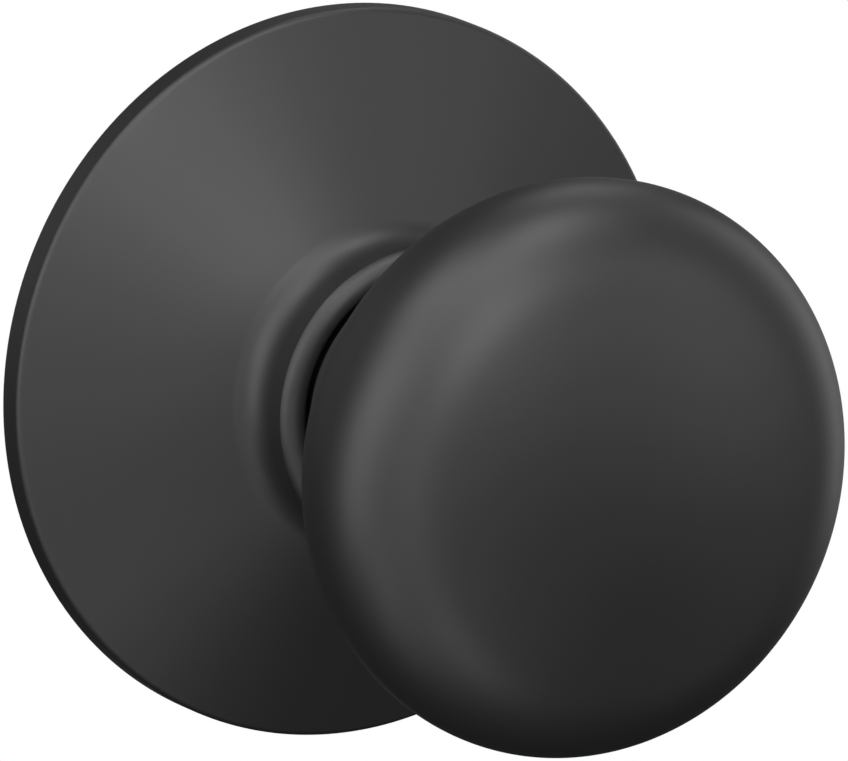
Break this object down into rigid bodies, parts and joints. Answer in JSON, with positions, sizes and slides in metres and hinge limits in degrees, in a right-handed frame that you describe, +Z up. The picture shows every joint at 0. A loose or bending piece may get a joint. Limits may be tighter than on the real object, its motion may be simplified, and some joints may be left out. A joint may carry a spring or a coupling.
{
  "type": "door knob",
  "caption": "Outside half of a cylindrical passage door knob: round black rose with a raised hub, turning knob, return-spring housing, threaded posts and a square spindle.",
  "frame": {"origin": "on the knob's turning axis, in the plane of the door face, which is the back of the rose and of the mounting plate", "axes": "-Y out of the door along the turning axis, towards the knob's front; +Y into the door along the spindle; +Z up; +X to the right of a person facing the knob"},
  "size_m": [0.0652, 0.0983, 0.0652],
  "materials": {
    "black_paint": "satin matte black paint on drawn metal",
    "plated_steel": "zinc plated sheet and bar",
    "turned_steel": "turned steel, bright",
    "zinc_casting": "die-cast zinc, dull grey",
    "spring_steel": "oiled spring wire and strip",
    "brass": "stamped brass",
    "nylon": "natural moulded nylon"
  },
  "bodies": {
    "rose_assembly": {"rose": "black_paint", "mounting_plate": "plated_steel", "left_post": "turned_steel", "right_post": "turned_steel", "neck_bushing": "nylon", "spring_housing": "zinc_casting", "return_spring": "spring_steel", "spring_cover": "plated_steel", "cover_screw_1": "turned_steel", "cover_screw_2": "turned_steel", "cover_screw_3": "turned_steel"},
    "knob": {"knob_cap": "black_paint", "knob_back": "black_paint", "knob_shank": "turned_steel", "drive_tube": "turned_steel", "drive_hub": "zinc_casting", "spindle": "plated_steel", "spindle_pin": "turned_steel", "thrust_washer": "brass", "wave_washer": "spring_steel", "retaining_ring": "spring_steel", "catch_spring": "spring_steel"},
    "catch": {"knob_catch": "turned_steel"}
  },
  "joints": [
    {"name": "knob_turn", "type": "hinge", "parent": "rose_assembly", "child": "knob", "pos_m": [0, 0, 0], "axis": [0, -1, 0], "range_deg": [-50, 50], "stiffness_Nm_per_rad": 0.35, "deforming": ["return_spring"]},
    {"name": "catch_slide", "type": "slide", "parent": "knob", "child": "catch", "axis": [0, 0, 1], "range_m": [0, 0.0016], "stiffness_N_per_m": 150, "springref_m": -0.002, "deforming": ["catch_spring"]}
  ]
}
